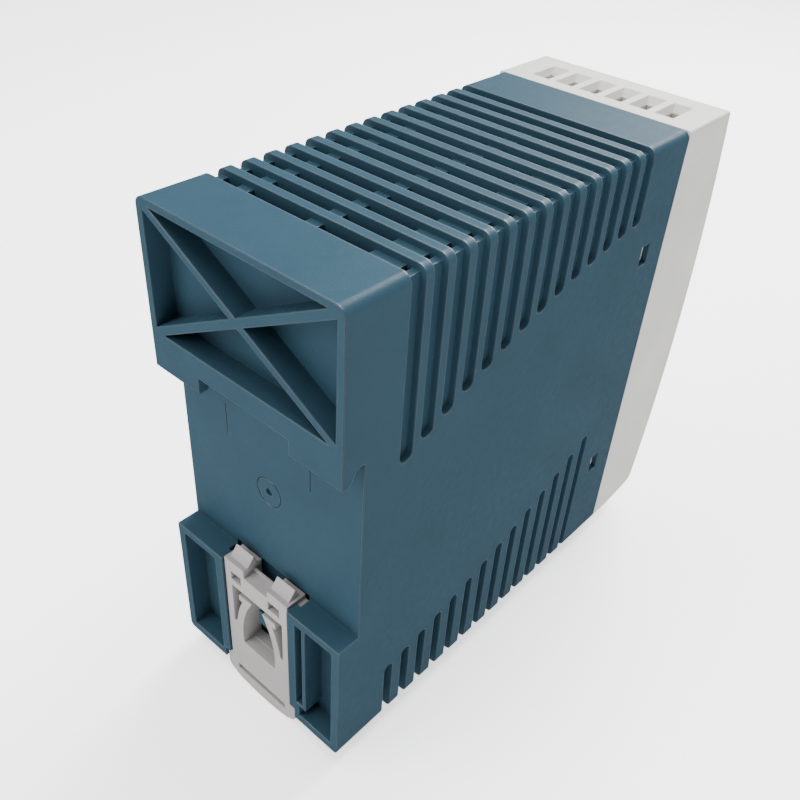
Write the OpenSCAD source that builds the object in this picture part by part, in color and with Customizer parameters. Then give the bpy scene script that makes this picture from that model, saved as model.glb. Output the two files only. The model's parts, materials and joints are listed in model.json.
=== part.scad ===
// DIN rail power supply in a 40 mm wide case.
// +Z is up, the terminals face -Y and the rail side faces +Y. The origin lies on the
// plane that the rail's flanges rest on, at the middle of the case and of the rail.

/* [Case] */
// Width of the case
body_w = 40; // [38:0.5:48]
// Height of the case, without the latch's tab
body_h = 90; // [88:0.5:94]
// Depth of the rear housing, from its rear face to the seam
shell_d = 81.5; // [80:0.5:90]
// Depth of the front cover at its top edge
cover_d = 14.7; // [14.5:0.1:16]
// How far the middle of the front face bows out
front_bow = 3.8; // [2:0.1:5]
// Wall thickness of the rear housing
wall = 2.4; // [2.2:0.1:2.8]
// Radius of the long upper edges
edge_r = 1.6; // [1:0.1:2]

/* [DIN rail seat] */
// Height of the rail's centre line above the underside
rail_z = 46.4; // [46:0.1:47]
// Depth of the rail channel behind the rear face
rail_recess = 4.3; // [4:0.1:5]
// Lowest height of the fixed lip above the underside
lip_z = 61.8; // [61:0.1:62]
// Height of the latch block
block_h = 27.7; // [27:0.1:28]

/* [Vents] */
// Number of grooves over the top, and of slots along the underside
vent_count = 14; // [6:1:14]
// Distance from groove to groove
vent_pitch = 4.3; // [4.2:0.05:4.3]
// Width of an upper groove
groove_w = 2.7; // [2:0.1:2.9]
// Depth of a groove
groove_d = 1.1; // [0.6:0.1:1.3]
// Width of a lower slot
slot_w = 2; // [1.5:0.1:2.4]

/* [Terminals] */
// Number of output poles
output_count = 6; // [4:1:6]
// Distance between output poles
output_pitch = 5.2; // [5.1:0.05:5.4]
// Number of input poles
input_count = 3; // [2:1:3]
// Distance between input poles
input_pitch = 8; // [6:0.5:10]
// Height of the output screws
output_z = 79.3; // [79:0.1:79.5]
// Height of the input screws
input_z = 12.5; // [12:0.1:13]
// How far a clamp cage rises
cage_travel = 2.4; // [2:0.1:2.4]

/* [Hidden] */
$fn = 48;
eps = 0.01;
over = 1;                                   // how far a cut runs past a face

// Planes along Y, from the rear to the front
rear_y = rail_recess;
seam_y = rear_y - shell_d;
front_y = seam_y - cover_d;
nose_y = front_y - front_bow;
cavity_y = -2.5;                            // rear end of the main cavity
pocket_y = 0.5;                             // floor of the rear pockets
channel_y = -0.6;                           // floor of the latch's channel

// Front face: an arc through the top edge, the nose and the bottom edge
bow_r = (pow(body_h / 2, 2) + pow(front_bow, 2)) / (2 * front_bow);
base_rise = 8.5;                            // slope of the cover's underside, degrees
nose_r = 2.4;                               // round between underside and front face
cover_wall = 2;
cover_edge_r = 0.5;
roof_t = 3.2;                               // above the terminals
inner_w = body_w - 2 * wall;

// Vents: the first groove is the rearmost
vent_y = -8.4;
upper_end = [59.4, 76.8];                   // groove ends: rearmost, foremost
lower_end = [13.1, 31.5];                   // slot ends: rearmost, foremost
end_bow = 2.5;                              // how far both rows of ends curve
bars = [[13.2, 2.3], [-0.8, 2.4], [-14, 5.3]];   // floor bars: centre, width
opening_span = 17.6;                        // half length of the row of openings

// Snap fits of the cover
snap_y = -70.5;
snap_size = [2.8, 4];
snap_rise = 24.3;                           // above and below mid height
tab_w = 8;

// Latch
latch_w = 15.7;
latch_lip_w = 18.2;
latch_flange_w = 17.4;
latch_y = [-0.2, 3.9];                      // inner and outer faces
latch_tab_z = -4;
latch_step_z = 2.4;
hook_x = 5.1;
hook_w = 4.3;

// Terminal pole, along Y: head pocket, web, clamp cavity, board
pole_front = -91;
pole_back = -79.3;
head_y = [-90.8, -89.3];
cavity_pole = [-88.2, -80.1];
cage_y = [-85.6, -80.2];
cage_size = [4, 5.6];                       // width and height
cage_wall = [0.5, 1.2, 1];                  // side, threaded and rear walls
strip_y = [-84.3, -83.7];
head_r = 1.85;
screw_r = 1.45;
entry = [2.6, 2.7];                         // wire entry of the terminal body
entry_y = -82.4;
funnel = [3.75, 7.45];                      // mouth of the cover's wire entry
funnel_y = -84.1;
funnel_d = 1.3;
throat = [2.4, 5.2];                        // straight part below the funnel
throat_y = -83.8;

// Front board and what shows through the front face
board_t = 1.6;
board_front = [pole_back, pole_back + board_t];
led_at = [8, 66];
trim_at = [-7, 66];
trim_hole_r = 3;
pipe_r = 1.5;
label_z = [26, 60];
label_w = 30;
label_t = 0.3;

// Main board: its parts stand on the face at board_x and point to -X
board_x = 14.4;
board_y = [-76.5, -8.5];
board_z = [3.2, 86.8];

function lerp(a, b, t) = a + (b - a) * t;
function vent_at(i) = vent_y - i * vent_pitch;
function vent_t(i) = i / (vent_count - 1);
function upper_z(i) = lerp(upper_end[0], upper_end[1], vent_t(i))
    + 4 * end_bow * vent_t(i) * (1 - vent_t(i));
function lower_z(i) = lerp(lower_end[0], lower_end[1], vent_t(i))
    - 4 * end_bow * vent_t(i) * (1 - vent_t(i));
function pole_x(i, count, pitch) = (i - (count - 1) / 2) * pitch;

// ---------- Helpers ----------

// Heights are drawn from the underside and moved so that the rail's centre is at zero
module seat() translate([0, 0, -rail_z]) children();

// A box between two corners
module block(low, high) translate(low) cube(high - low);

// Rounded section of the case in X and Z, standing on z = 0
module section(w, h, r_top, r_low) {
    translate([-w / 2, r_low]) square([w, h - r_top - r_low]);
    translate([-w / 2 + r_low, 0]) square([w - 2 * r_low, r_low + eps]);
    translate([-w / 2 + r_top, h - r_top - eps]) square([w - 2 * r_top, r_top + eps]);
    for (s = [-1, 1]) {
        translate([s * (w / 2 - r_low), r_low]) circle(r_low);
        translate([s * (w / 2 - r_top), h - r_top]) circle(r_top);
    }
}

// Extrude an X-Z outline from y0 back to y1
module along_y(y0, y1) {
    translate([0, y1, 0]) rotate([90, 0, 0]) linear_extrude(y1 - y0) children();
}

// Extrude a Y-Z outline from x0 to x1
module along_x(x0, x1) {
    translate([x0, 0, 0]) rotate([90, 0, 90]) linear_extrude(x1 - x0) children();
}

// A cylinder from the board face towards -X
module standing(y, z, r, h) {
    translate([board_x, y, z]) rotate([0, -90, 0]) cylinder(r = r, h = h);
}

// A cylinder along Y between two planes
module rod_y(x, z, r, y0, y1) {
    translate([x, y0, z]) rotate([-90, 0, 0]) cylinder(r = r, h = y1 - y0);
}

// ---------- Rear housing ----------

// Groove over the top and down both sides, with a round end on each side
module upper_groove(i) {
    y = vent_at(i);
    r = groove_w / 2;
    block([-body_w / 2 - over, y - r, body_h - groove_d], [body_w / 2 + over, y + r, body_h + over]);
    for (s = [-1, 1])
        along_x(s * (body_w / 2 + (over - groove_d) / 2) - (over + groove_d) / 2,
                s * (body_w / 2 + (over - groove_d) / 2) + (over + groove_d) / 2) {
            translate([y, upper_z(i) + r]) circle(r);
            translate([y - r, upper_z(i) + r]) square([groove_w, body_h - upper_z(i)]);
        }
}

// Slot through both sides, open at the underside, with a groove across it
module lower_slot(i) {
    y = vent_at(i) + 0.4;
    r = slot_w / 2;
    block([-body_w / 2 - over, y - r, -over], [body_w / 2 + over, y + r, groove_d]);
    for (s = [-1, 1])
        along_x(s * (body_w / 2 + (over - wall) / 2) - (over + wall) / 2,
                s * (body_w / 2 + (over - wall) / 2) + (over + wall) / 2) {
            translate([y, lower_z(i) - r]) circle(r);
            translate([y - r, -over]) square([slot_w, lower_z(i) - r + over]);
        }
}

// Openings through a groove's floor, left between the floor bars
module floor_openings(y, w, z0, z1) {
    difference() {
        block([-opening_span, y - w / 2, z0], [opening_span, y + w / 2, z1]);
        for (b = bars)
            block([b[0] - b[1] / 2, y - w, z0 - over], [b[0] + b[1] / 2, y + w, z1 + over]);
    }
}

// Pocket in the upper block, crossed by two diagonal ribs
module rib_pocket() {
    w = body_w - 2.6;
    z0 = 68.4;
    h = 88.8 - z0;
    a = atan2(h, w);
    difference() {
        block([-w / 2, pocket_y, z0], [w / 2, rear_y + over, z0 + h]);
        for (rib = [[-1, 1.2], [1, 1.5]])
            translate([0, pocket_y - over, z0 + h / 2])
                rotate([0, rib[0] * a, 0])
                    translate([-w, 0, -rib[1] / 2]) cube([2 * w, rear_y - pocket_y + over, rib[1]]);
    }
}

// Pockets beside the latch
module latch_block_pockets() {
    depth = rear_y + over;
    block([10, pocket_y, 1.8], [18.4, depth, 26.2]);
    block([-11.5, pocket_y, 5.2], [-9.9, depth, 25.9]);
    block([-18.4, pocket_y, 1.8], [-12.3, depth, 26.2]);
    block([-13, pocket_y, 1.8], [-10.6, depth, 4.6]);
}

// T-shaped guide channel for the latch, open above and below
module latch_channel() {
    neck = 2;
    block([-9, channel_y, -over], [9, neck, block_h + over]);
    block([-8.1, channel_y, -over], [8.1, rear_y + over, block_h + over]);
    block([-9.4, channel_y, -over], [9.4, rear_y + over, latch_step_z + 0.1]);
}

// Fixed lip that hooks over the rail's upper flange, cut away in the middle
module rail_seat_cut() {
    lip_gap = [1.6, 2.8];
    notch_h = 2.3;
    half = body_w / 2 + over;
    block([-half, 0, block_h], [half, rear_y + over, lip_z]);
    along_x(-half, half)
        polygon([[0, lip_z - eps], [0, lip_z + notch_h], [lip_gap[0], lip_z + notch_h],
                 [lip_gap[1], lip_z - eps]]);
    block([-9.6, 0, lip_z - eps], [9.6, rear_y + over, lip_z + 2.8]);
}

// Faint marks that the mould leaves on the rail seat
module mould_marks() {
    depth = 0.12;
    z = rail_z - 0.8;
    for (s = [-1, 1]) block([s * 9.35 - 0.1, -depth, 52], [s * 9.35 + 0.1, over, 58]);
    rod_y(0, z, 0.7, -0.4, over);
    difference() {
        rod_y(0, z, 2.85, -depth, over);
        rod_y(0, z, 2.6, -over, 2 * over);
    }
}

module board_guides() {
    for (z = [wall - eps, body_h - wall - 2 + eps])
        for (x = [board_x - 0.9, board_x + board_t + 0.1])
            block([x, -70, z], [x + 0.8, cavity_y + eps, z + 2]);
}

module snap_window(s, t) {
    z = body_h / 2 + t * snap_rise;
    block([s * (body_w / 2 - wall / 2) - wall, snap_y - snap_size[0] / 2, z - snap_size[1] / 2],
          [s * (body_w / 2 - wall / 2) + wall, snap_y + snap_size[0] / 2, z + snap_size[1] / 2]);
}

// Boss that the latch's two arms close around
module detent_boss() block([-1.1, channel_y - eps, 15.6], [1.1, 2.6, 18.6]);

module rear_housing() {
    color([0.29, 0.42, 0.49]) seat() {
        difference() {
            along_y(seam_y, rear_y) section(body_w, body_h, edge_r, 1);
            block([-inner_w / 2, seam_y - over, wall], [inner_w / 2, cavity_y, body_h - wall]);
            rail_seat_cut();
            rib_pocket();
            latch_block_pockets();
            latch_channel();
            mould_marks();
            for (i = [0 : vent_count - 1]) {
                upper_groove(i);
                lower_slot(i);
                floor_openings(vent_at(i), groove_w, body_h - wall - over, body_h);
                floor_openings(vent_at(i) + 0.4, slot_w, 0, wall + over);
            }
            for (s = [-1, 1], t = [-1, 1]) snap_window(s, t);
        }
        detent_boss();
        difference() {
            board_guides();
            for (i = [0 : vent_count - 1]) {
                floor_openings(vent_at(i), groove_w, body_h - wall - 3, body_h);
                floor_openings(vent_at(i) + 0.4, slot_w, 0, wall + 3);
            }
        }
    }
}

// ---------- Front cover ----------

// Height of the cover's underside, set in by t, at depth y
function base_z(y, t) = (seam_y - y) * tan(base_rise) + t / cos(base_rise);

// Side outline of the cover, set in by t from its outer faces
module cover_side(t) {
    r = bow_r - t;
    c = [nose_y + bow_r, body_h / 2];
    k = max(nose_r - t, 0.4);
    z1 = base_z(front_y + k, t + k);
    y1 = c[0] - sqrt(pow(r - k, 2) - pow(c[1] - z1, 2));
    z2 = base_z(y1, t + k);
    y2 = c[0] - sqrt(pow(r - k, 2) - pow(c[1] - z2, 2));
    o = [y2, base_z(y2, t + k)];
    toward = (o - c) / norm(o - c);
    difference() {
        intersection() {
            translate(c) circle(r, $fn = 360);
            polygon([[seam_y + over, base_z(seam_y + over, t)], [nose_y - over, base_z(nose_y - over, t)],
                     [nose_y - over, body_h - t], [seam_y + over, body_h - t]]);
        }
        polygon([o, o + k * toward, o + 3 * k * [-1, -1], o + k * [sin(base_rise), -cos(base_rise)]]);
    }
    translate(o) circle(k);
}

module cover_block(t) {
    intersection() {
        along_y(nose_y - over, seam_y)
            translate([0, t])
                section(body_w - 2 * t, body_h - 2 * t, max(cover_edge_r - t, 0.4), max(1 - t, 0.4));
        along_x(-body_w, body_w) cover_side(t);
    }
}

// Four-sided funnel whose mouth is at z = 0, with a straight throat through the roof
module wire_funnel(x) {
    m = funnel / 2;
    t = throat / 2;
    grow = 1 + over / funnel_d;
    translate([x, 0, 0]) {
        intersection() {
            along_y(funnel_y - funnel[1], funnel_y + funnel[1])
                polygon([[-t[0], -funnel_d], [t[0], -funnel_d],
                         [lerp(t[0], m[0], grow), over], [-lerp(t[0], m[0], grow), over]]);
            along_x(-funnel[0], funnel[0])
                polygon([[throat_y - t[1], -funnel_d], [throat_y + t[1], -funnel_d],
                         [lerp(throat_y + t[1], funnel_y + m[1], grow), over],
                         [lerp(throat_y - t[1], funnel_y - m[1], grow), over]]);
        }
        block([-t[0], throat_y - t[1], -roof_t - 0.8], [t[0], throat_y + t[1], -funnel_d + eps]);
    }
}

module snap_tab(s, t) {
    z = body_h / 2 + t * snap_rise;
    outer = inner_w / 2 - 0.2;
    mirror([s < 0 ? 1 : 0, 0, 0]) {
        block([outer - 1.3, seam_y - cover_wall, z - tab_w / 2], [outer, snap_y + 2.4, z + tab_w / 2]);
        block([outer - 1.3, seam_y - cover_wall, z - tab_w / 2], [inner_w / 2 + 1, seam_y, z + tab_w / 2]);
        translate([0, 0, z - snap_size[1] / 2 + 0.3])
            linear_extrude(snap_size[1] - 0.6)
                polygon([[outer - eps, snap_y - 1.2], [outer + 1.6, snap_y - 1.2],
                         [outer + 1.6, snap_y - 0.4], [outer - eps, snap_y + 1.2]]);
    }
}

// Room for a terminal block in the cover, with its screw openings
module terminal_pocket(count, pitch, z0, z1) {
    gap = 0.08;
    half = count * pitch / 2 + 0.6 + gap;
    block([-half, pole_front - gap, z0 - gap], [half, seam_y, z1 + gap]);
}

module front_cover() {
    ring = [inner_w - 0.2, body_h - 2 * wall - 0.2];
    color([0.84, 0.84, 0.81]) seat() {
        difference() {
            cover_block(0);
            intersection() {
                cover_block(cover_wall);
                block([-body_w, nose_y, 5], [body_w, seam_y + over, body_h - roof_t]);
            }
            block([-ring[0] / 2 + 1, seam_y - 1, 5], [ring[0] / 2 - 1, seam_y + over, body_h - roof_t]);
            for (i = [0 : output_count - 1])
                translate([0, 0, body_h]) wire_funnel(pole_x(i, output_count, output_pitch));
            for (i = [0 : input_count - 1])
                translate([0, 0, base_z(funnel_y, 0) + 0.4]) mirror([0, 0, 1])
                    wire_funnel(pole_x(i, input_count, input_pitch));
            for (i = [0 : output_count - 1])
                rod_y(pole_x(i, output_count, output_pitch), output_z, 2.15, nose_y - over, pole_front);
            for (i = [0 : input_count - 1])
                rod_y(pole_x(i, input_count, input_pitch), input_z, 2.15, nose_y - over, pole_front);
            terminal_pocket(output_count, output_pitch, output_z - 4.7, output_z + 7.4);
            terminal_pocket(input_count, input_pitch, input_z - 7.4, input_z + 4.7);
            rod_y(trim_at[0], trim_at[1], trim_hole_r, nose_y - over, pole_front);
            rod_y(led_at[0], led_at[1], pipe_r + 0.05, nose_y - over, pole_front);
            label_space(0);
        }
        for (s = [-1, 1], t = [-1, 1]) snap_tab(s, t);
    }
}

// Shallow space for the label, following the bowed front
module label_space(gap) {
    difference() {
        block([-label_w / 2 + gap, nose_y - over, label_z[0] + gap],
              [label_w / 2 - gap, nose_y + 3, label_z[1] - gap]);
        along_x(-body_w, body_w)
            translate([nose_y + bow_r, body_h / 2]) circle(bow_r - label_t, $fn = 360);
    }
}

module front_label() {
    color([0.9, 0.91, 0.9]) seat()
        intersection() {
            label_space(0.1);
            along_x(-body_w, body_w)
                translate([nose_y + bow_r, body_h / 2]) circle(bow_r - 0.05, $fn = 360);
        }
}

// ---------- Rail latch ----------

// One wedge hook in Y and Z, with its ramp towards the rear
module hook_side() {
    polygon([[latch_y[1], 26.2], [latch_y[1], 26.9], [1.5, 29.8], [1.15, 29.2], [1.15, 28.7],
             [0.4, 27.8], [0.4, 26.2]]);
}

// Curved arm of the spring clip, on the +X side
module clip_arm() {
    inner_r = 20.2;
    t = 1.6;
    intersection() {
        difference() {
            translate([-16, 10.5]) circle(inner_r + t, $fn = 180);
            translate([-16, 10.5]) circle(inner_r, $fn = 180);
        }
        translate([1.4, 8]) square([6, 12.9]);
    }
    translate([2.9, 19.6]) square([1.7, 1.3]);
}

// Face of the latch in X and Z
module latch_face() {
    rail = 1.5;
    half = latch_w / 2;
    difference() {
        union() {
            translate([-half, latch_step_z - 0.5]) square([latch_w, 28 - latch_step_z + 0.5]);
            translate([-latch_lip_w / 2, 0]) square([latch_lip_w, latch_step_z]);
            intersection() {
                translate([-latch_lip_w / 2, latch_tab_z]) square([latch_lip_w, 5]);
                translate([0, latch_tab_z + 30]) circle(30, $fn = 180);
                union() {
                    translate([-latch_lip_w / 2 + 2, latch_tab_z]) square([latch_lip_w - 4, 5]);
                    translate([-latch_lip_w / 2, latch_tab_z + 3.2]) square([latch_lip_w, 3]);
                    for (s = [-1, 1])
                        translate([s * (latch_lip_w / 2 - 2), latch_tab_z + 3.2]) circle(2);
                }
            }
        }
        translate([-half + rail, 8.4]) square([latch_w - 2 * rail, 22.2 - 8.4]);
        for (w = [[-4.4, 2.8], [5.1, 2.5]])
            translate([w[0] - w[1] / 2, 23.6]) square([w[1], 2]);
        translate([-hook_x + hook_w / 2, 26.3]) square([2 * hook_x - hook_w, 3]);
    }
    for (s = [0, 1]) mirror([s, 0]) {
        clip_arm();
        intersection() {
            translate([half - rail - 1.7, 8.3]) square([1.8, 4.6]);
            difference() {
                translate([half - rail - 1.7, 8.3]) square([1.8, 4.6]);
                translate([-16, 10.5]) circle(20.2, $fn = 180);
            }
        }
    }
}

module rail_latch() {
    slot = [12.6, 1.4];
    color([0.72, 0.7, 0.69]) seat() {
        difference() {
            union() {
                along_y(latch_y[0], latch_y[1]) latch_face();
                for (s = [-1, 1])
                    along_x(s * hook_x - hook_w / 2, s * hook_x + hook_w / 2) hook_side();
                for (s = [-1, 1], z = [4, 22.5])
                    block([s * latch_flange_w / 4 - latch_flange_w / 4, latch_y[0], z],
                          [s * latch_flange_w / 4 + latch_flange_w / 4, 1.7, z + 4.5]);
            }
            block([-slot[0] / 2, latch_y[1] - 1.6, -1.1], [slot[0] / 2, latch_y[1] + over, -1.1 + slot[1]]);
            block([-3, latch_y[0] - over, 22.2], [3, 1.2, 28.5]);
        }
    }
}

// ---------- Terminals: drawn for one pole with the screw's axis at z = 0 ----------

module terminal_body(count, pitch) {
    half = count * pitch / 2 + 0.6;
    difference() {
        block([-half, pole_front, -4.7], [half, pole_back, 7.4]);
        for (i = [0 : count - 1])
            translate([pole_x(i, count, pitch), 0, 0]) {
                block([-cage_size[0] / 2 - 0.05, cavity_pole[0], -cage_size[1] / 2 - 0.1],
                      [cage_size[0] / 2 + 0.05, cavity_pole[1], cage_size[1] / 2 + 0.1]);
                rod_y(0, 0, head_r + 0.3, pole_front - over, head_y[1]);
                rod_y(0, 0, screw_r + 0.08, head_y[1] - eps, cavity_pole[0] + over);
                block([-entry[0] / 2, entry_y - entry[1] / 2, 0], [entry[0] / 2, entry_y + entry[1] / 2, 8]);
                block([-1.3, strip_y[0] - 0.1, -4], [1.3, pole_back + over, -2.7]);
            }
    }
}

// Contact strips with a foot that runs back through the front board
module contact_strips(count, pitch) {
    for (i = [0 : count - 1])
        translate([pole_x(i, count, pitch), 0, 0]) {
            block([-1.2, strip_y[0], -3.9], [1.2, strip_y[1], 2.7]);
            block([-1.2, strip_y[0], -3.9], [1.2, pole_back, -3.1]);
            block([-0.5, pole_back - eps, -3.9], [0.5, board_front[1] + 1, -3.1]);
        }
}

module clamp_screw() {
    slot = [0.7, 0.7];
    difference() {
        union() {
            rod_y(0, 0, head_r, head_y[0], head_y[1]);
            rod_y(0, 0, screw_r, head_y[1] - eps, strip_y[0] - 0.1);
        }
        block([-head_r, head_y[0] - over, -slot[0] / 2], [head_r, head_y[0] + slot[1], slot[0] / 2]);
        block([-slot[0] / 2, head_y[0] - over, -1.2], [slot[0] / 2, head_y[0] + slot[1], 1.2]);
    }
}

module clamp_cage() {
    w = cage_size[0] / 2;
    h = cage_size[1] / 2;
    difference() {
        block([-w, cage_y[0], -h], [w, cage_y[1], h]);
        block([-w + cage_wall[0], cage_y[0] + cage_wall[1], -h - over],
              [w - cage_wall[0], cage_y[1] - cage_wall[2], h + over]);
        rod_y(0, 0, screw_r + 0.05, cage_y[0] - over, cage_y[0] + cage_wall[1] + eps);
    }
}

module at_output() translate([0, 0, output_z]) children();
module at_input() translate([0, 0, input_z]) mirror([0, 0, 1]) children();
module output_pole(i) {
    at_output() translate([pole_x(i - 1, output_count, output_pitch), 0, 0]) children();
}
module input_pole(i) {
    at_input() translate([pole_x(i - 1, input_count, input_pitch), 0, 0]) children();
}

module output_terminal_body() {
    color([0.2, 0.36, 0.27]) seat() at_output() terminal_body(output_count, output_pitch);
}
module output_contacts() {
    color([0.8, 0.78, 0.72]) seat() at_output() contact_strips(output_count, output_pitch);
}
module output_screw(i) color([0.75, 0.75, 0.76]) seat() output_pole(i) clamp_screw();
module output_cage(i) color([0.78, 0.7, 0.5]) seat() output_pole(i) clamp_cage();
module input_terminal_body() {
    color([0.2, 0.36, 0.27]) seat() at_input() terminal_body(input_count, input_pitch);
}
module input_contacts() {
    color([0.8, 0.78, 0.72]) seat() at_input() contact_strips(input_count, input_pitch);
}
module input_screw(i) color([0.75, 0.75, 0.76]) seat() input_pole(i) clamp_screw();
module input_cage(i) color([0.78, 0.7, 0.5]) seat() input_pole(i) clamp_cage();

// ---------- Front board, light and voltage adjuster ----------

module front_board() {
    color([0.13, 0.35, 0.2]) seat()
        difference() {
            block([-15.9, board_front[0], 6], [15.9, board_front[1], 86]);
            for (i = [0 : output_count - 1])
                translate([pole_x(i, output_count, output_pitch), 0, output_z])
                    block([-0.6, board_front[0] - over, -4], [0.6, board_front[1] + over, -3]);
            for (i = [0 : input_count - 1])
                translate([pole_x(i, input_count, input_pitch), 0, input_z])
                    block([-0.6, board_front[0] - over, 3], [0.6, board_front[1] + over, 4]);
        }
}

module status_led() {
    color([0.3, 0.8, 0.35]) seat() {
        rod_y(led_at[0], led_at[1], 1.5, pole_back - 2.6, pole_back);
        rod_y(led_at[0], led_at[1], 1.9, pole_back - 0.8, pole_back);
    }
}

module light_pipe() {
    collar_y = -91.6;
    color([0.85, 0.92, 0.86, 0.6]) seat() {
        rod_y(led_at[0], led_at[1], pipe_r, nose_y + 0.3, pole_back - 2.8);
        rod_y(led_at[0], led_at[1], 2.3, collar_y, collar_y + 1.2);
    }
}

module trimmer_body() {
    half = 3.3;
    color([0.22, 0.4, 0.62]) seat()
        difference() {
            block([trim_at[0] - half, -86, trim_at[1] - half],
                  [trim_at[0] + half, pole_back, trim_at[1] + half]);
            rod_y(trim_at[0], trim_at[1], 2.35, -86 - over, -84.5);
        }
}

module trimmer_rotor() {
    slot = [0.7, 1];
    front = -92.6;
    color([0.9, 0.9, 0.88]) seat()
        difference() {
            union() {
                rod_y(trim_at[0], trim_at[1], 2.25, -86.6, -84.6);
                rod_y(trim_at[0], trim_at[1], 1.7, front, -86.5);
            }
            for (s = [[1.4, slot[0] / 2], [slot[0] / 2, 1.4]])
                block([trim_at[0] - s[0], front - over, trim_at[1] - s[1]],
                      [trim_at[0] + s[0], front + slot[1], trim_at[1] + s[1]]);
        }
}

// ---------- Main board and its parts ----------

module main_board() {
    color([0.13, 0.35, 0.2]) seat()
        block([board_x, board_y[0], board_z[0]], [board_x + board_t, board_y[1], board_z[1]]);
}

module board_connector() {
    color([0.1, 0.1, 0.1]) seat() block([board_x - 3, board_front[1], 38], [board_x, -72, 58]);
}

module insulation_sheet() {
    color([0.9, 0.88, 0.75]) seat()
        block([board_x + board_t + 1, -67, 5], [board_x + board_t + 1.3, -8, 85]);
}

module fuse() {
    r = 2.5;
    color([0.85, 0.85, 0.8]) seat() {
        translate([board_x - 4, -72, 16]) cylinder(r = r, h = 20);
        for (z = [16, 31]) translate([board_x - 4, -72, z]) cylinder(r = r + 0.3, h = 5);
        for (z = [18.5, 33.5]) block([board_x - 4, -72.4, z - 0.4], [board_x, -71.6, z + 0.4]);
    }
}

// Disc on two leads, standing on the board
module disc_part(y, z, r, t) {
    x = board_x - r - 2;
    rod_y(x, z, r, y - t / 2, y + t / 2);
    for (s = [-1, 1])
        translate([board_x, y + s * t / 5, z + s * r / 2]) rotate([0, -90, 0]) cylinder(r = 0.35, h = r + 1);
}

module varistor() color([0.16, 0.3, 0.6]) seat() disc_part(-62, 11, 5, 4);
module thermistor() color([0.15, 0.2, 0.18]) seat() disc_part(-55, 10, 4.5, 4.4);
module x_capacitor() color([0.78, 0.66, 0.24]) seat() block([board_x - 15, -51, 5.5], [board_x, -42.5, 23.5]);

module y_capacitors() {
    color([0.2, 0.42, 0.62]) seat()
        for (z = [22, 33]) disc_part(-63, z, 4, 3.4);
}

// Ring of the choke, with its axis along Y
module choke_ring(r0, r1, t, a) {
    translate([board_x - 10, -32, 15]) rotate([90, 0, 0])
        for (s = (a == 360) ? [0] : [-a / 2, 180 - a / 2])
            rotate([0, 0, s]) rotate_extrude(angle = a)
                translate([r0, -t / 2]) square([r1 - r0, t]);
}

module choke_core() color([0.25, 0.45, 0.3]) seat() choke_ring(4.6, 8, 6, 360);

module choke_winding() {
    color([0.72, 0.38, 0.16]) seat()
        difference() {
            choke_ring(3.7, 9, 7.8, 130);
            choke_ring(4.55, 8.05, 6.1, 360);
        }
}

module bridge_rectifier() {
    color([0.12, 0.12, 0.13]) seat() {
        block([board_x - 16, -18.5, 5.5], [board_x - 1, -14.7, 26]);
        for (i = [0 : 3]) block([board_x - 1 - eps, -17, 7.5 + 5 * i], [board_x, -16.2, 8.5 + 5 * i]);
    }
}

// Electrolytic capacitor with a vented end and a crimped foot
module can(y, z, r, h) {
    difference() {
        standing(y, z, r, h);
        for (a = [0, 90])
            translate([board_x - h, y, z])
                rotate([a, 0, 0]) translate([-over, -r * 0.7, -0.2]) cube([over + 0.3, r * 1.4, 0.4]);
        translate([board_x - 2.6, y, z])
            rotate([0, 90, 0])
                difference() {
                    cylinder(r = r + 1, h = 1);
                    translate([0, 0, -over]) cylinder(r = r - 0.5, h = 3);
                }
    }
}

module bulk_capacitor() color([0.13, 0.14, 0.18]) seat() can(-20, 42, 9, 30);
module output_capacitor_1() color([0.15, 0.16, 0.2]) seat() can(-66, 50, 5, 20);
module output_capacitor_2() color([0.15, 0.16, 0.2]) seat() can(-66, 61.5, 5, 20);

// Transformer: pair of E cores around a wound bobbin
xf = [0.9, -43, 49];
xf_core = [24, 11, 30];
xf_leg = 9;
xf_yoke = 4.5;

module transformer_core() {
    x = xf_core[0] / 2;
    y = xf_core[1] / 2;
    z = xf_core[2] / 2;
    color([0.2, 0.2, 0.21]) seat() translate(xf)
        difference() {
            block([-x, -y, -z], [x, y, z]);
            for (s = [-1, 1])
                translate([0, 0, s * (xf_leg / 2 + z - xf_yoke) / 2])
                    cube([2 * (x - xf_yoke), 2 * y + over, z - xf_yoke - xf_leg / 2], center = true);
        }
}

module transformer_bobbin() {
    color([0.16, 0.16, 0.17]) seat() translate(xf) {
        difference() {
            union() {
                for (s = [-1, 1]) translate([s * 6.8, 0, 0]) cube([1, 21, 20.6], center = true);
                cube([14, xf_core[1] + 1.4, xf_leg + 1.4], center = true);
            }
            cube([20, xf_core[1] + 0.1, xf_leg + 0.1], center = true);
        }
        block([xf_core[0] / 2, -11, -13], [board_x - xf[0], 11, 13]);
        for (s = [-1, 1])
            block([7, s * 8.3 - 2.2, -10.3], [xf_core[0] / 2 + eps, s * 8.3 + 2.2, 10.3]);
    }
}

module transformer_winding() {
    color([0.82, 0.72, 0.3]) seat() translate(xf)
        difference() {
            cube([12.5, 20, 19.8], center = true);
            cube([20, xf_core[1] + 1.5, xf_leg + 1.5], center = true);
        }
}

// Package with a metal tab and three leads; the heat sink lies against its back
module power_package(hole_x) {
    difference() {
        union() {
            block([-5, 0, 0], [10.5, 4.4, 10]);
            block([-12, 3.1, 0], [-5 + eps, 4.4, 10]);
        }
        rod_y(-8.5, 5, 1.7, -over, 5);
    }
    for (z = [2.4, 5, 7.6]) block([10.5 - eps, 1.6, z - 0.4], [hole_x, 2.4, z + 0.4]);
}

module power_mosfet() color([0.1, 0.1, 0.11]) seat() translate([0, -15.9, 62]) power_package(board_x);

module mosfet_heatsink() {
    color([0.75, 0.76, 0.77]) seat()
        difference() {
            block([-13, -11.5, 56], [board_x, -9.5, 80]);
            rod_y(-8.5, 67, 1.3, -12, -9);
        }
}

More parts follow.
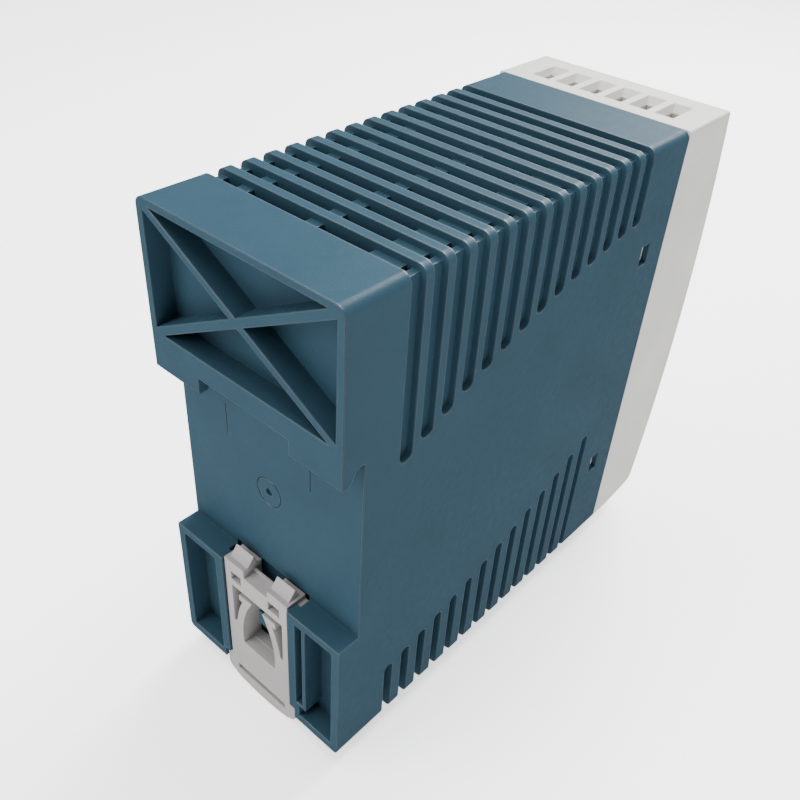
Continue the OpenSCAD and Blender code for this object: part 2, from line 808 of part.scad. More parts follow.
module output_diode() {
    color([0.1, 0.1, 0.11]) seat() translate([0, -36, 83.4 - 4.4]) rotate([90, 0, 0]) power_package(board_x);
}

module diode_heatsink() {
    color([0.75, 0.76, 0.77]) seat()
        difference() {
            block([-13, -54, 83.4], [board_x, -26, 85.2]);
            translate([-8.5, -41, 83]) cylinder(r = 1.3, h = 3);
        }
}

module heatsink_screws() {
    color([0.75, 0.75, 0.76]) seat() {
        rod_y(-8.5, 67, 2.7, -14.9, -12.8);
        rod_y(-8.5, 67, 1.25, -13, -9.5);
        translate([-8.5, -41, 80]) cylinder(r = 2.7, h = 2.1);
        translate([-8.5, -41, 82]) cylinder(r = 1.25, h = 3.2);
    }
}

module output_inductor() {
    color([0.24, 0.24, 0.25]) seat() {
        standing(-24, 74, 4.5, 15);
        for (x = [0, 12.5]) translate([-x, 0, 0]) standing(-24, 74, 6.8, 2.5);
        standing(-24, 74, 6, 14);
    }
}

module controller_chip() color([0.1, 0.1, 0.1]) seat() block([board_x - 1.7, -58, 74], [board_x, -54, 79]);

module optocouplers() {
    color([0.93, 0.93, 0.9]) seat()
        for (z = [66, 74]) block([board_x - 3.6, -52.5, z], [board_x, -46, z + 4.6]);
}

module dc_ok_relay() color([0.85, 0.84, 0.8]) seat() block([board_x - 12, -74, 68], [board_x, -65, 83]);

// ---------- Drawing ----------

rear_housing();
front_cover();
front_label();
rail_latch();
light_pipe();
status_led();
trimmer_body();
trimmer_rotor();
output_terminal_body();
output_contacts();
input_terminal_body();
input_contacts();
for (i = [1 : output_count]) {
    output_screw(i);
    output_cage(i);
}
for (i = [1 : input_count]) {
    input_screw(i);
    input_cage(i);
}
front_board();
main_board();
board_connector();
insulation_sheet();
fuse();
varistor();
thermistor();
x_capacitor();
y_capacitors();
choke_core();
choke_winding();
bridge_rectifier();
bulk_capacitor();
transformer_core();
transformer_bobbin();
transformer_winding();
power_mosfet();
mosfet_heatsink();
output_diode();
diode_heatsink();
heatsink_screws();
output_inductor();
output_capacitor_1();
output_capacitor_2();
controller_chip();
optocouplers();
dc_ok_relay();
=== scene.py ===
# %% [markdown]
# # DIN rail power supply
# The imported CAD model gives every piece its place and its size. This lesson dresses it: each
# moulded piece gets softened edges and a grained plastic, the metal and the boards get their
# own finishes, and Geometry Nodes make what repeats, such as wire turns and small board parts.

# %%
import bpy
import bmesh
import json
import math
from mathutils import Vector, Matrix

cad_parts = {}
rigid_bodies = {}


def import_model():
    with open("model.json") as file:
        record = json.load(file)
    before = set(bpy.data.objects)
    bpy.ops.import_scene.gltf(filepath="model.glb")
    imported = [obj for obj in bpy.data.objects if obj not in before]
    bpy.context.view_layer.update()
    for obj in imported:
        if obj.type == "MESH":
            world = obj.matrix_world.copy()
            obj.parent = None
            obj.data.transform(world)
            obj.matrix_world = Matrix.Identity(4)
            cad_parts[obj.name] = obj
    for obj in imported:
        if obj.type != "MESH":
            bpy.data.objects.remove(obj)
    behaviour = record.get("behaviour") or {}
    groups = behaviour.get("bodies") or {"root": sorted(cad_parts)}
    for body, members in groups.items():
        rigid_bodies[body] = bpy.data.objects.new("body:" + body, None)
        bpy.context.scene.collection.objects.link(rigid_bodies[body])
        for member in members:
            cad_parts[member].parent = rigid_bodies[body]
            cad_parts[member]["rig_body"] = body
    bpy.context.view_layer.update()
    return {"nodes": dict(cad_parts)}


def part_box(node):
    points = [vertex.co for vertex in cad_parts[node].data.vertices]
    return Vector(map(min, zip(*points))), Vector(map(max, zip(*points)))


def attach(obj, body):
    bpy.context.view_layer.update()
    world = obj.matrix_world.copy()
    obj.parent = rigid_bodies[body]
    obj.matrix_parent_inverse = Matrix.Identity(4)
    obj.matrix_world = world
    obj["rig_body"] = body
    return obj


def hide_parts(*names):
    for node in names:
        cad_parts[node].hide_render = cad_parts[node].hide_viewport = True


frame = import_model()
nodes = frame["nodes"]
MM = 0.001
BASE_Z = -46.4 * MM          # underside of the case
WELD = 0.001 * MM            # points closer than this are one point

# %% [markdown]
# ## Camera
# The unit is seen from behind and above, close by, so its uprights lean together. A position and
# a target are enough to build the camera's matrix, and a small roll levels the picture.

# %%
def aim(position, target, roll):
    """Matrix of an object at position whose -Z looks at target, turned by roll about that line."""
    back = (Vector(position) - Vector(target)).normalized()
    right = Vector((0, 0, 1)).cross(back).normalized()
    up = back.cross(right)
    turn = Matrix.Rotation(roll, 3, "Z")
    axes = Matrix((right, up, back)).transposed() @ turn
    return Matrix.Translation(position) @ axes.to_4x4()


camera = bpy.data.objects.new("Camera", bpy.data.cameras.new("Camera"))
bpy.context.scene.collection.objects.link(camera)
bpy.context.scene.camera = camera
camera.data.lens = 40.74
camera.data.sensor_width = 36
camera.data.clip_start = 0.005
camera.matrix_world = aim((-0.0802, 0.0662, 0.0974), (0.0021, -0.0328, -0.0014), 0.068)
print("camera at", [round(v, 4) for v in camera.matrix_world.translation])

# %% [markdown]
# ## Floor and studio light
# A pale floor runs far out on every side, so no horizon shows. The key lamp stands beyond the front
# cover, so the groove walls that face the rail stay dark and the upper edges catch its gleam. A
# wide lamp overhead and a weak one behind fill in, under an even pale sky. The floor glows a
# little, and its gleam is kept off the plastic, or the dark walls would turn pale.

# %%
FLOOR_Z = -50.4 * MM
FLOOR_REACH = 4              # metres to each side
FLOOR_GLOW = 1.3
SKY = (0.93, 0.96, 1, 1)
SKY_STRENGTH = 0.3


def area_lamp(name, position, target, size, watts):
    """A square soft white lamp that looks at target."""
    lamp = bpy.data.objects.new(name, bpy.data.lights.new(name, "AREA"))
    lamp.data.size = size
    lamp.data.energy = watts
    lamp.matrix_world = aim(position, target, 0)
    bpy.context.scene.collection.objects.link(lamp)


area_lamp("key_light", (0.05, -0.49, 0.47), (0, -0.04, 0), 0.4, 10)
area_lamp("top_light", (0.02, 0.0, 0.70), (0, -0.04, 0), 0.6, 8)
area_lamp("rear_light", (0.30, 0.50, 0.35), (0, -0.03, 0), 0.4, 4)

world = bpy.data.worlds.new("studio")
bpy.context.scene.world = world
world.use_nodes = True
sky = world.node_tree.nodes["Background"]
sky.inputs["Color"].default_value = SKY
sky.inputs["Strength"].default_value = SKY_STRENGTH

corners = [(x * FLOOR_REACH, y * FLOOR_REACH, FLOOR_Z) for x, y in ((-1, -1), (1, -1), (1, 1), (-1, 1))]
floor_mesh = bpy.data.meshes.new("floor")
floor_mesh.from_pydata(corners, [], [(0, 1, 2, 3)])
floor = bpy.data.objects.new("floor", floor_mesh)
bpy.context.scene.collection.objects.link(floor)
paper = bpy.data.materials.new("white_paper")
paper.use_nodes = True
surface = paper.node_tree.nodes["Principled BSDF"]
surface.inputs["Base Color"].default_value = (0.98, 0.98, 0.98, 1)
surface.inputs["Roughness"].default_value = 0.9
surface.inputs["Emission Color"].default_value = (1, 1, 1, 1)
surface.inputs["Emission Strength"].default_value = FLOOR_GLOW
floor.visible_glossy = False
floor_mesh.materials.append(paper)
print("floor", round((BASE_Z - FLOOR_Z) / MM, 1), "mm below the case, level with the latch's tab")

# %% [markdown]
# ## Moulded plastic
# A mould that has been spark-eroded leaves a fine dull grain. On a real case it shows as a slightly
# broken highlight and as tiny glints along the edges. Three noises make the grain: a fine one drives the
# bump, a middle one the roughness and a coarse one the colour. All read object coordinates, so the
# grain has the same size on every piece. The glints along the outer edges are a painted highlight: a
# raised specular level there, so the outer edges gleam more than the faces.

# %%
GRAIN_DEPTH = 0.06 * MM
# painted highlight: the specular level given to the very edge
PAINTED_EDGE_GLEAM = 0.75            # specular level on the very edge
EDGE_SAMPLES = 6


def new_material(name, base, rough, metal=0.0):
    """A material with its Principled shader, and the shader node itself."""
    mat = bpy.data.materials.new(name)
    mat.use_nodes = True
    shader = mat.node_tree.nodes["Principled BSDF"]
    shader.inputs["Base Color"].default_value = (*base, 1)
    shader.inputs["Roughness"].default_value = rough
    shader.inputs["Metallic"].default_value = metal
    return mat, shader


def add(mat, kind, **sockets):
    """A node of that kind with some of its inputs set."""
    node = mat.node_tree.nodes.new(kind)
    for name, value in sockets.items():
        node.inputs[name.replace("_", " ")].default_value = value
    return node


def noise(mat, scale, detail=2.0, stretch=(1, 1, 1)):
    """Noise on object coordinates. Scale counts features per metre."""
    links = mat.node_tree.links
    place = add(mat, "ShaderNodeTexCoord")
    mapping = add(mat, "ShaderNodeMapping")
    mapping.inputs["Scale"].default_value = stretch
    texture = add(mat, "ShaderNodeTexNoise", Scale=scale, Detail=detail)
    links.new(place.outputs["Object"], mapping.inputs["Vector"])
    links.new(mapping.outputs["Vector"], texture.inputs["Vector"])
    return texture.outputs["Fac"]


def spread(mat, value, low, high):
    """The value's middle range stretched to low..high."""
    node = add(mat, "ShaderNodeMapRange")
    node.inputs["From Min"].default_value = 0.3
    node.inputs["From Max"].default_value = 0.7
    node.inputs["To Min"].default_value = low
    node.inputs["To Max"].default_value = high
    mat.node_tree.links.new(value, node.inputs["Value"])
    return node.outputs["Result"]


def tint(mat, value, dark, light):
    """A colour between dark and light, led by the value."""
    node = add(mat, "ShaderNodeMix")
    node.data_type = "RGBA"
    node.inputs[6].default_value = (*dark, 1)
    node.inputs[7].default_value = (*light, 1)
    mat.node_tree.links.new(value, node.inputs[0])
    return node.outputs[2]


def bump(mat, shader, height, strength, distance, edge=0):
    """Bump led by height, distance metres deep at full strength, over edges rounded by edge, which also
    get a painted highlight.
    """
    links = mat.node_tree.links
    node = add(mat, "ShaderNodeBump", Strength=strength, Distance=distance)
    links.new(height, node.inputs["Height"])
    if edge:
        rounded = add(mat, "ShaderNodeBevel", Radius=edge)
        rounded.samples = EDGE_SAMPLES
        links.new(rounded.outputs["Normal"], node.inputs["Normal"])
        # painted highlight along the rounded edges
        paint_edge_highlight(mat, shader, edge * 1.2)
    links.new(node.outputs["Normal"], shader.inputs["Normal"])


def paint_edge_highlight(mat, shader, width):
    """Painted highlight along the outer edges: a higher specular level where the next face is within
    width.
    """
    near = add(mat, "ShaderNodeAmbientOcclusion", Distance=width)
    near.inside = True
    near.only_local = True
    near.samples = EDGE_SAMPLES
    # painted highlight: the specular level rises towards the edge as the AO mask falls
    gleam = add(mat, "ShaderNodeMapRange")
    gleam.inputs["From Min"].default_value = 0.6
    gleam.inputs["From Max"].default_value = 0.98
    gleam.inputs["To Min"].default_value = PAINTED_EDGE_GLEAM
    gleam.inputs["To Max"].default_value = shader.inputs["Specular IOR Level"].default_value
    mat.node_tree.links.new(near.outputs["AO"], gleam.inputs["Value"])
    mat.node_tree.links.new(gleam.outputs["Result"], shader.inputs["Specular IOR Level"])


def moulded(name, base, rough=0.45, grain=0.25, grain_scale=3200, vary=0.05, edge=0.2 * MM, shine=0.5):
    """Grained plastic. Its edges catch the light as if they were rounded by edge, with a painted highlight
    along them.
    """
    mat, shader = new_material(name, base, rough)
    shader.inputs["Specular IOR Level"].default_value = shine
    links = mat.node_tree.links
    coarse = noise(mat, 90, 3)
    dark = [c * (1 - vary) for c in base]
    light = [min(1, c * (1 + vary)) for c in base]
    links.new(tint(mat, spread(mat, coarse, 0, 1), dark, light), shader.inputs["Base Color"])
    links.new(spread(mat, noise(mat, 700, 2), rough - 0.05, rough + 0.05), shader.inputs["Roughness"])
    bump(mat, shader, noise(mat, grain_scale, 2), grain, GRAIN_DEPTH, edge)
    return mat


case_blue = moulded("case_blue", (0.021, 0.05, 0.072), 0.4, 0.5, edge=0.25 * MM, shine=0.08)
cover_grey = moulded("cover_grey", (0.49, 0.485, 0.445), 0.5, 0.25, edge=0.3 * MM)
latch_grey = moulded("latch_grey", (0.30, 0.285, 0.28), 0.42, 0.1)
print("plastics ready")

# %% [markdown]
# ## Case, cover and latch
# The CAD pieces come as loose triangles. A merged copy stands in for each of the three large
# mouldings. Their rounded edges come from the material, so the flat faces stay truly flat.

# %%
def merged(name, node):
    """A merged copy of a CAD node."""
    mesh = nodes[node].data.copy()
    mesh.name = name
    bm = bmesh.new()
    bm.from_mesh(mesh)
    bmesh.ops.remove_doubles(bm, verts=bm.verts, dist=WELD)
    bm.to_mesh(mesh)
    bm.free()
    mesh.shade_flat()
    piece = bpy.data.objects.new(name, mesh)
    bpy.context.scene.collection.objects.link(piece)
    return piece


def stands_for(piece, node, mat):
    """The piece takes over from a CAD node, with this material."""
    piece.data.materials.clear()
    piece.data.materials.append(mat)
    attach(piece, nodes[node]["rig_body"])
    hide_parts(node)


stands_for(merged("case", "rear_housing"), "rear_housing", case_blue)
stands_for(merged("cover", "front_cover"), "front_cover", cover_grey)
stands_for(merged("latch", "rail_latch"), "rail_latch", latch_grey)
print("three mouldings, edges rounded in their materials")

# %% [markdown]
# ## Finishes of the other pieces
# Each finish is a short function. Metals get brushing or a dull plating, dipped parts a wavy
# gloss, the boards a pattern of copper tracks under their lacquer.

# %%
def metal(name, base, rough, brushed=(1, 1, 1)):
    """Metal with streaks. The direction in which brushed is small is the one it was rolled in."""
    mat, shader = new_material(name, base, rough, 1.0)
    streaks = noise(mat, 1500, 3, brushed)
    links = mat.node_tree.links
    dark = [c * 0.82 for c in base]
    links.new(tint(mat, spread(mat, noise(mat, 160, 3), 0, 1), dark, base), shader.inputs["Base Color"])
    links.new(spread(mat, streaks, rough * 0.75, rough * 1.3), shader.inputs["Roughness"])
    bump(mat, shader, streaks, 0.1, 0.02 * MM, 0.08 * MM)
    return mat


def dipped(name, base, rough=0.25):
    """Epoxy or sleeve: glossy, with a slow wave in its skin."""
    mat, shader = new_material(name, base, rough)
    links = mat.node_tree.links
    wave = noise(mat, 260, 2)
    dark = [c * 0.8 for c in base]
    links.new(tint(mat, spread(mat, noise(mat, 420, 3), 0, 1), dark, base), shader.inputs["Base Color"])
    links.new(spread(mat, noise(mat, 900, 2), rough, rough + 0.12), shader.inputs["Roughness"])
    bump(mat, shader, wave, 0.35, 0.2 * MM, 0.1 * MM)
    return mat


def circuit_board(name, lacquer, track):
    """Lacquered glass fibre with tracks under the lacquer and a fine spread in its gloss."""
    mat, shader = new_material(name, lacquer, 0.32)
    links = mat.node_tree.links
    place = add(mat, "ShaderNodeTexCoord")
    cells = add(mat, "ShaderNodeTexVoronoi", Scale=260.0)
    cells.feature = "DISTANCE_TO_EDGE"
    links.new(place.outputs["Object"], cells.inputs["Vector"])
    lines = add(mat, "ShaderNodeMath")
    lines.operation = "LESS_THAN"
    lines.inputs[1].default_value = 0.09
    links.new(cells.outputs["Distance"], lines.inputs[0])
    links.new(tint(mat, lines.outputs["Value"], lacquer, track), shader.inputs["Base Color"])
    links.new(spread(mat, noise(mat, 1200, 2), 0.26, 0.4), shader.inputs["Roughness"])
    bump(mat, shader, lines.outputs["Value"], 0.4, 0.04 * MM)
    return mat


def sleeved(name, sleeve, end):
    """A capacitor's shrunk sleeve, with bare metal on the faces that look along X."""
    mat, shader = new_material(name, sleeve, 0.28)
    links = mat.node_tree.links
    facing = add(mat, "ShaderNodeNewGeometry")
    parts = add(mat, "ShaderNodeSeparateXYZ")
    flat = add(mat, "ShaderNodeMath")
    flat.operation = "LESS_THAN"
    flat.inputs[1].default_value = -0.9
    links.new(facing.outputs["Normal"], parts.inputs["Vector"])
    links.new(parts.outputs["X"], flat.inputs[0])
    links.new(tint(mat, flat.outputs["Value"], sleeve, end), shader.inputs["Base Color"])
    links.new(flat.outputs["Value"], shader.inputs["Metallic"])
    links.new(spread(mat, noise(mat, 800, 2), 0.22, 0.36), shader.inputs["Roughness"])
    return mat


def clear_pipe(name):
    """Clear plastic with a faint haze."""
    mat, shader = new_material(name, (0.9, 0.96, 0.92), 0.08)
    shader.inputs["Transmission Weight"].default_value = 0.9
    shader.inputs["IOR"].default_value = 1.49
    mat.node_tree.links.new(spread(mat, noise(mat, 500, 2), 0.05, 0.16), shader.inputs["Roughness"])
    return mat


steel = metal("screw_steel", (0.62, 0.62, 0.63), 0.3)
tin = metal("contact_tin", (0.66, 0.64, 0.58), 0.35)
brass = metal("cage_brass", (0.34, 0.27, 0.14), 0.36)
aluminium = metal("heatsink_alu", (0.68, 0.69, 0.7), 0.36, (1, 1, 0.05))
ferrite = moulded("ferrite", (0.035, 0.035, 0.038), 0.6, 0.5, 1800, 0.2, 0.15 * MM)
board_green = circuit_board("board_green", (0.012, 0.09, 0.035), (0.03, 0.16, 0.06))
terminal_black = moulded("terminal_black", (0.012, 0.013, 0.013), 0.5, 0.2)
epoxy_black = moulded("epoxy_black", (0.012, 0.012, 0.013), 0.5, 0.3, 2600, 0.1, 0.1 * MM)
can_sleeve = sleeved("sleeve_dark", (0.012, 0.014, 0.024), (0.7, 0.7, 0.7))
dressing = {
    "front_label": moulded("label_film", (0.72, 0.73, 0.72), 0.38, 0.08, 2400, 0.02),
    "light_pipe": clear_pipe("clear_plastic"),
    "status_led": dipped("led_green", (0.05, 0.5, 0.09), 0.12),
    "trimmer_body": moulded("trimmer_blue", (0.03, 0.12, 0.34), 0.4, 0.1),
    "trimmer_rotor": moulded("rotor_white", (0.75, 0.75, 0.72), 0.4, 0.1),
    "output_terminal_body": terminal_black,
    "input_terminal_body": terminal_black,
    "output_contacts": tin,
    "input_contacts": tin,
    "front_board": board_green,
    "main_board": board_green,
    "board_connector": moulded("connector_black", (0.012, 0.012, 0.012), 0.45, 0.15),
    "insulation_sheet": moulded("sheet_cream", (0.72, 0.68, 0.48), 0.35, 0.1, 900, 0.06),
    "fuse": dipped("fuse_ceramic", (0.72, 0.7, 0.64), 0.2),
    "varistor": dipped("varistor_blue", (0.02, 0.07, 0.3)),
    "thermistor": dipped("thermistor_dark", (0.015, 0.025, 0.02), 0.4),
    "x_capacitor": dipped("film_yellow", (0.6, 0.42, 0.05), 0.3),
    "y_capacitors": dipped("disc_blue", (0.03, 0.13, 0.34), 0.3),
    "choke_core": dipped("core_green", (0.04, 0.17, 0.07), 0.45),
    "bridge_rectifier": epoxy_black,
    "bulk_capacitor": can_sleeve,
    "output_capacitor_1": can_sleeve,
    "output_capacitor_2": can_sleeve,
    "transformer_core": ferrite,
    "output_inductor": ferrite,
    "transformer_bobbin": moulded("bobbin_black", (0.018, 0.018, 0.02), 0.45, 0.2),
    "power_mosfet": epoxy_black,
    "output_diode": epoxy_black,
    "controller_chip": epoxy_black,
    "mosfet_heatsink": aluminium,
    "diode_heatsink": aluminium,
    "heatsink_screws": steel,
    "optocouplers": moulded("opto_white", (0.75, 0.75, 0.7), 0.4, 0.15),
    "dc_ok_relay": moulded("relay_cream", (0.62, 0.58, 0.46), 0.4, 0.15),
}
for kind, count in (("output", 6), ("input", 3)):
    for pole in range(1, count + 1):
        dressing[f"{kind}_screw_{pole}"] = steel
        dressing[f"{kind}_cage_{pole}"] = brass
for name, finish in dressing.items():
    nodes[name].data.materials.clear()
    nodes[name].data.materials.append(finish)
print(len(dressing), "CAD nodes dressed with", len(set(dressing.values())), "finishes")

# %% [markdown]
# ## Small pieces get real edges
# The simple inner pieces are merged and bevelled by modifiers on the CAD objects themselves, so
# all but their edges follows the model exactly.

# %%
ROUNDED = {                  # width of each edge in mm
    "output_terminal_body": 0.15, "input_terminal_body": 0.15, "board_connector": 0.2,
    "x_capacitor": 0.5, "bridge_rectifier": 0.3, "transformer_core": 0.25,
    "controller_chip": 0.1, "optocouplers": 0.25, "dc_ok_relay": 0.4,
    "varistor": 0.25, "thermistor": 0.25, "y_capacitors": 0.25, "fuse": 0.2,
    "mosfet_heatsink": 0.15, "diode_heatsink": 0.15,
}
for name, width in ROUNDED.items():
    weld = nodes[name].modifiers.new("weld", "WELD")
    weld.merge_threshold = WELD
    bevel = nodes[name].modifiers.new("edge", "BEVEL")
    bevel.width = width * MM
    bevel.segments = 2
    bevel.limit_method = "ANGLE"
    bevel.angle_limit = math.radians(40)
print(len(ROUNDED), "pieces bevelled")

# %% [markdown]
# ## Wire turns
# Both windings are rows of closed wire loops. A tree makes one rounded loop and repeats it: in a
# straight row for the transformer, around the ring for the choke.

# %%
def tree_with(name, inputs):
    """An empty tree with named inputs, and its input and output nodes."""
    tree = bpy.data.node_groups.new(name, "GeometryNodeTree")
    for label, kind, value in inputs:
        socket = tree.interface.new_socket(label, in_out="INPUT", socket_type=kind)
        socket.default_value = value
    tree.interface.new_socket("Geometry", in_out="OUTPUT", socket_type="NodeSocketGeometry")
    return tree, tree.nodes.new("NodeGroupInput"), tree.nodes.new("NodeGroupOutput")


def put(tree, kind, **sockets):
    """A node in the tree with some of its inputs set."""
    node = tree.nodes.new(kind)
    for name, value in sockets.items():
        node.inputs[name.replace("_", " ")].default_value = value
    return node


def close_tree(tree, geometry, out, finish):
    """Realize Instances and Set Material at the end of a tree."""
    whole = tree.nodes.new("GeometryNodeRealizeInstances")
    dye = put(tree, "GeometryNodeSetMaterial")
    dye.inputs["Material"].default_value = finish
    tree.links.new(geometry, whole.inputs["Geometry"])
    tree.links.new(whole.outputs["Geometry"], dye.inputs["Geometry"])
    tree.links.new(dye.outputs["Geometry"], out.inputs["Geometry"])


def grow(name, tree, values, place):
    """Run the tree with these input values and keep the result as a plain mesh, moved by place,
    on the case's body."""
    seed = bpy.data.objects.new(name + "_seed", bpy.data.meshes.new(name + "_seed"))
    bpy.context.scene.collection.objects.link(seed)
    modifier = seed.modifiers.new("grow", "NODES")
    modifier.node_group = tree
    for item in tree.interface.items_tree:
        if item.in_out == "INPUT" and item.name in values:
            modifier[item.identifier] = values[item.name]
    shown = seed.evaluated_get(bpy.context.evaluated_depsgraph_get())
    mesh = bpy.data.meshes.new_from_object(shown)
    mesh.transform(place)
    mesh.shade_smooth()
    mesh.set_sharp_from_angle(angle=math.radians(50))
    bpy.data.objects.remove(seed)
    piece = bpy.data.objects.new(name, mesh)
    bpy.context.scene.collection.objects.link(piece)
    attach(piece, "case")
    print(name, len(mesh.polygons), "faces")
    return piece


def wire_loop(tree, source):
    """A rounded wire loop in the X-Y plane, sized by the tree's inputs."""
    loop = put(tree, "GeometryNodeCurvePrimitiveQuadrilateral")
    round_off = put(tree, "GeometryNodeFilletCurve")
    round_off.mode = "POLY"
    round_off.inputs["Count"].default_value = 4
    section = put(tree, "GeometryNodeCurvePrimitiveCircle", Resolution=8)
    wire = put(tree, "GeometryNodeCurveToMesh")
    tree.links.new(source.outputs["Loop width"], loop.inputs["Width"])
    tree.links.new(source.outputs["Loop height"], loop.inputs["Height"])
    tree.links.new(source.outputs["Corner"], round_off.inputs["Radius"])
    tree.links.new(source.outputs["Wire radius"], section.inputs["Radius"])
    tree.links.new(loop.outputs["Curve"], round_off.inputs["Curve"])
    tree.links.new(round_off.outputs["Curve"], wire.inputs["Curve"])
    tree.links.new(section.outputs["Curve"], wire.inputs["Profile Curve"])
    return wire.outputs["Mesh"]


LOOP_INPUTS = [
    ("Turns", "NodeSocketInt", 10),
    ("Loop width", "NodeSocketFloat", 0.01),
    ("Loop height", "NodeSocketFloat", 0.01),
    ("Corner", "NodeSocketFloat", 0.001),
    ("Wire radius", "NodeSocketFloat", 0.0004),
]


def row_of_loops(finish):
    """Loops in a straight row along Z."""
    extra = [("Step", "NodeSocketVector", (0, 0, 0.001))]
    tree, source, out = tree_with("row_of_loops", LOOP_INPUTS + extra)
    line = put(tree, "GeometryNodeMeshLine")
    place = put(tree, "GeometryNodeInstanceOnPoints")
    tree.links.new(source.outputs["Turns"], line.inputs["Count"])
    tree.links.new(source.outputs["Step"], line.inputs["Offset"])
    tree.links.new(line.outputs["Mesh"], place.inputs["Points"])
    tree.links.new(wire_loop(tree, source), place.inputs["Instance"])
    close_tree(tree, place.outputs["Instances"], out, finish)
    return tree


def ring_of_loops(finish):
    """Loops around Z at a radius, each standing upright, from a first angle in equal steps."""
    extra = [("Radius", "NodeSocketFloat", 0.01), ("First angle", "NodeSocketFloat", 0.0),
             ("Angle step", "NodeSocketFloat", 0.1)]
    tree, source, out = tree_with("ring_of_loops", LOOP_INPUTS + extra)
    upright = put(tree, "GeometryNodeTransform", Rotation=(math.pi / 2, 0, 0))
    outward = put(tree, "ShaderNodeCombineXYZ")
    line = put(tree, "GeometryNodeMeshLine", Offset=(0, 0, 0))
    place = put(tree, "GeometryNodeInstanceOnPoints")
    number = put(tree, "GeometryNodeInputIndex")
    angle = put(tree, "ShaderNodeMath")
    angle.operation = "MULTIPLY_ADD"
    turned = put(tree, "ShaderNodeCombineXYZ")
    tree.links.new(wire_loop(tree, source), upright.inputs["Geometry"])
    tree.links.new(source.outputs["Radius"], outward.inputs["X"])
    tree.links.new(outward.outputs["Vector"], upright.inputs["Translation"])
    tree.links.new(source.outputs["Turns"], line.inputs["Count"])
    tree.links.new(number.outputs["Index"], angle.inputs[0])
    tree.links.new(source.outputs["Angle step"], angle.inputs[1])
    tree.links.new(source.outputs["First angle"], angle.inputs[2])
    tree.links.new(angle.outputs["Value"], turned.inputs["Z"])
    tree.links.new(line.outputs["Mesh"], place.inputs["Points"])
    tree.links.new(upright.outputs["Geometry"], place.inputs["Instance"])
    tree.links.new(turned.outputs["Vector"], place.inputs["Rotation"])
    close_tree(tree, place.outputs["Instances"], out, finish)
    return tree


def span(node):
    """Centre and size of a CAD node."""
    low, high = (Vector(v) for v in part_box(node))
    return (low + high) / 2, high - low


copper = metal("copper_wire", (0.62, 0.22, 0.07), 0.28)
enamel = dipped("winding_enamel", (0.52, 0.2, 0.05), 0.22)
middle, size = span("transformer_winding")
wire_r = 0.36 * MM
turns = int(size.x / (2 * wire_r))
along_x = Matrix.Translation(middle) @ Matrix.Rotation(math.radians(90), 4, "Y")
windings = grow("transformer_turns", row_of_loops(enamel), {
    "Turns": turns, "Loop width": size.z - 2 * wire_r, "Loop height": size.y - 2 * wire_r,
    "Corner": 3 * MM, "Wire radius": wire_r, "Step": (0, 0, 2 * wire_r),
}, along_x @ Matrix.Translation((0, 0, -(turns - 1) * wire_r)))
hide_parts("transformer_winding")

middle, size = span("choke_core")
core_outer, core_inner, core_thick = size.x / 2, 4.6 * MM, size.y
wire_r = 0.45 * MM
along_y = Matrix.Translation(middle) @ Matrix.Rotation(math.radians(90), 4, "X")
for side in (0, 1):
    grow(f"choke_turns_{side + 1}", ring_of_loops(copper), {
        "Turns": 11, "Loop width": core_outer - core_inner + 2 * wire_r,
        "Loop height": core_thick + 2 * wire_r, "Corner": 0.8 * MM, "Wire radius": wire_r,
        "Radius": (core_outer + core_inner) / 2, "First angle": math.radians(-60 + 180 * side),
        "Angle step": math.radians(12),
    }, along_y)
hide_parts("choke_winding")

# %% [markdown]
# ## Small board parts and solder joints
# Chip parts stand in rows on the main board, and solder joints dot its other face. One tree
# scatters a block or a bead over a grid, leaving some places empty by a seeded choice.

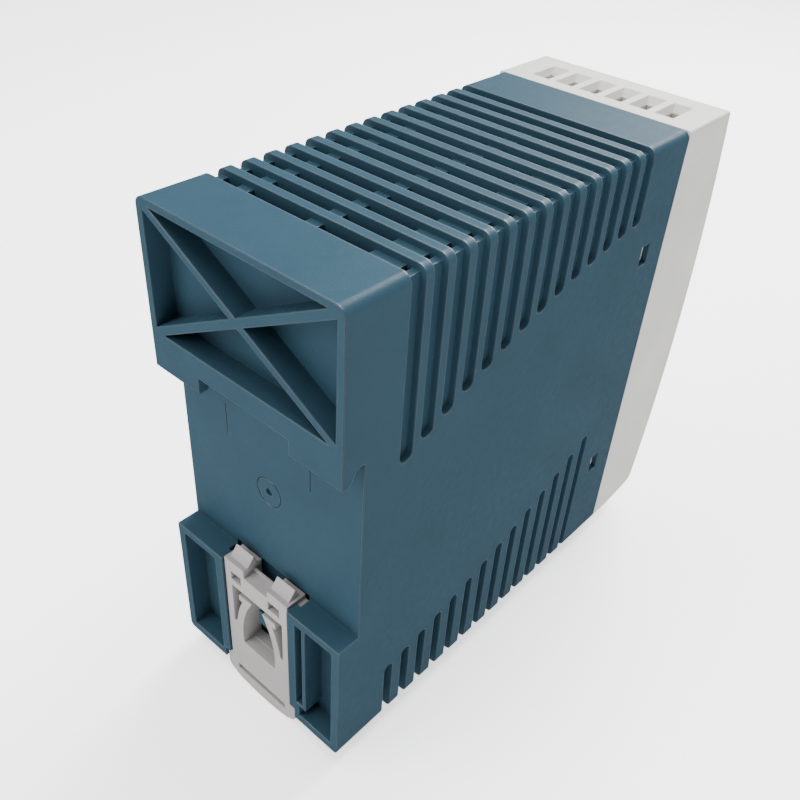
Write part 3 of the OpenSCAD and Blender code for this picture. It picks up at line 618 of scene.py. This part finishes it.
# %%
def scatter(finish, bead):
    """Blocks, or beads, on a grid in X-Y with some places left empty."""
    tree, source, out = tree_with("scatter_beads" if bead else "scatter_blocks", [
        ("Grid width", "NodeSocketFloat", 0.01), ("Grid height", "NodeSocketFloat", 0.01),
        ("Columns", "NodeSocketInt", 4), ("Rows", "NodeSocketInt", 4), ("Seed", "NodeSocketInt", 3),
        ("Piece size", "NodeSocketVector", (0.001, 0.001, 0.001)), ("Kept share", "NodeSocketFloat", 0.7)])
    grid = put(tree, "GeometryNodeMeshGrid")
    chance = put(tree, "FunctionNodeRandomValue")
    chance.data_type = "BOOLEAN"
    place = put(tree, "GeometryNodeInstanceOnPoints")
    stretch = put(tree, "GeometryNodeTransform")
    if bead:
        shape = put(tree, "GeometryNodeMeshUVSphere", Segments=10, Rings=6, Radius=0.5)
    else:
        shape = put(tree, "GeometryNodeMeshCube", Size=(1, 1, 1))
    for label, socket in (("Grid width", "Size X"), ("Grid height", "Size Y"),
                          ("Columns", "Vertices X"), ("Rows", "Vertices Y")):
        tree.links.new(source.outputs[label], grid.inputs[socket])
    keep = [s for s in chance.inputs if s.name == "Probability"][0]
    chosen = [s for s in chance.outputs if s.type == "BOOLEAN"][0]
    tree.links.new(source.outputs["Kept share"], keep)
    tree.links.new(source.outputs["Seed"], chance.inputs["Seed"])
    tree.links.new(shape.outputs["Mesh"], stretch.inputs["Geometry"])
    tree.links.new(source.outputs["Piece size"], stretch.inputs["Scale"])
    tree.links.new(grid.outputs["Mesh"], place.inputs["Points"])
    tree.links.new(chosen, place.inputs["Selection"])
    tree.links.new(stretch.outputs["Geometry"], place.inputs["Instance"])
    close_tree(tree, place.outputs["Instances"], out, finish)
    return tree


middle, size = span("main_board")
face_x, back_x = middle.x - size.x / 2, middle.x + size.x / 2
onto_board = Matrix.Rotation(math.radians(-90), 4, "Y")
chips = grow("chip_parts", scatter(epoxy_black, False), {
    "Grid width": 9 * MM, "Grid height": 12 * MM, "Columns": 4, "Rows": 5, "Seed": 4,
    "Piece size": (1.0 * MM, 1.7 * MM, 0.6 * MM), "Kept share": 0.75,
}, Matrix.Translation((face_x - 0.3 * MM, -37 * MM, BASE_Z + 71.5 * MM)) @ onto_board)
joints = grow("solder_joints", scatter(tin, True), {
    "Grid width": 76 * MM, "Grid height": 62 * MM, "Columns": 16, "Rows": 13, "Seed": 9,
    "Piece size": (1.7 * MM, 1.7 * MM, 1.2 * MM), "Kept share": 0.4,
}, Matrix.Translation((back_x, middle.y, middle.z)) @ onto_board)
